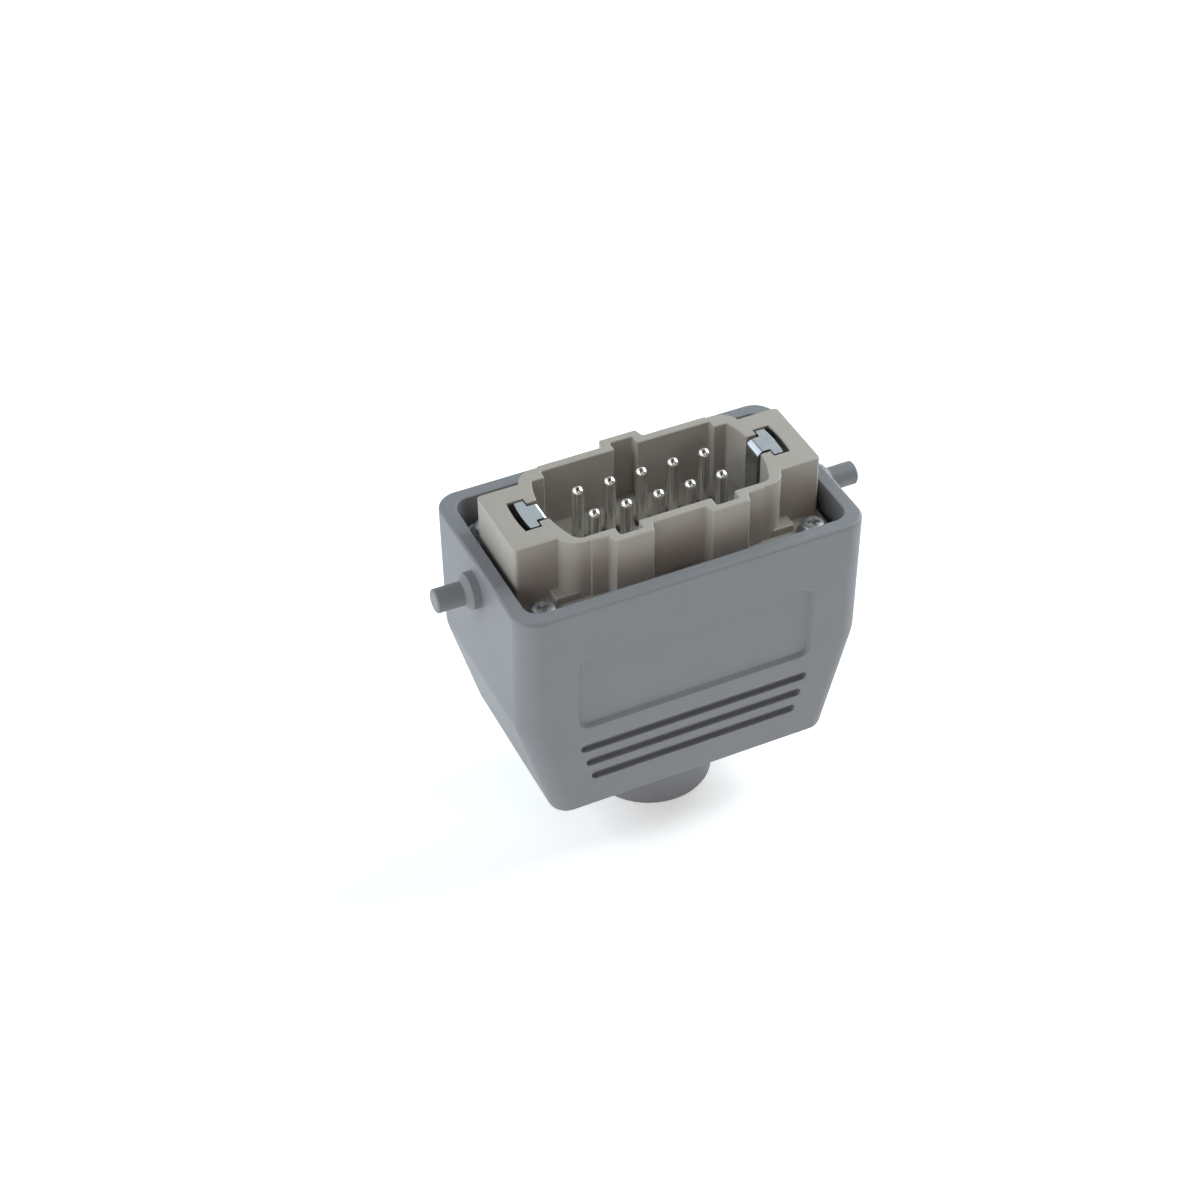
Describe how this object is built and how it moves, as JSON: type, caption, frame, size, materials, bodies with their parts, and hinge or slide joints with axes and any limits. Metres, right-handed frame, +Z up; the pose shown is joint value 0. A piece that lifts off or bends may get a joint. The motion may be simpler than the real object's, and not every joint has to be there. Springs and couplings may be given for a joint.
{
  "type": "rectangular multipole connector hood with male insert",
  "caption": "Grey die-cast rectangular connector hood with straight cable entry and two locking pegs, fitted with a male screw insert with round contact pins and earth contacts.",
  "frame": {"origin": "centre of the cable entry's end face, on the surface that the hood stands on", "axes": "+Z up, out of the mouth of the hood along the plugging direction; +X along the hood, through both locking pegs; +Y across it, towards the wall with the single coding key"},
  "size_m": [0.09, 0.043, 0.0753],
  "materials": {
    "hood_paint": "satin powder coat on die-cast aluminium",
    "insert_plastic": "moulded pebble-grey polycarbonate",
    "contact_silver": "silver-plated turned copper alloy",
    "tinned_sheet": "tin-plated bent sheet",
    "zinc_plated_steel": "zinc-plated steel"
  },
  "bodies": {
    "root": {"hood": "hood_paint", "insert_body": "insert_plastic", "contact_pin_1": "contact_silver", "contact_pin_2": "contact_silver", "contact_pin_3": "contact_silver", "contact_pin_4": "contact_silver", "contact_pin_5": "contact_silver", "contact_pin_6": "contact_silver", "contact_pin_7": "contact_silver", "contact_pin_8": "contact_silver", "contact_pin_9": "contact_silver", "contact_pin_10": "contact_silver", "pe_contact_left": "tinned_sheet", "pe_contact_right": "tinned_sheet", "pe_clamp_left": "zinc_plated_steel", "pe_clamp_right": "zinc_plated_steel", "pe_screws": "zinc_plated_steel", "terminal_screws": "zinc_plated_steel", "wire_guards": "zinc_plated_steel", "fixing_screws": "zinc_plated_steel", "lock_washers": "zinc_plated_steel"}
  },
  "joints": []
}
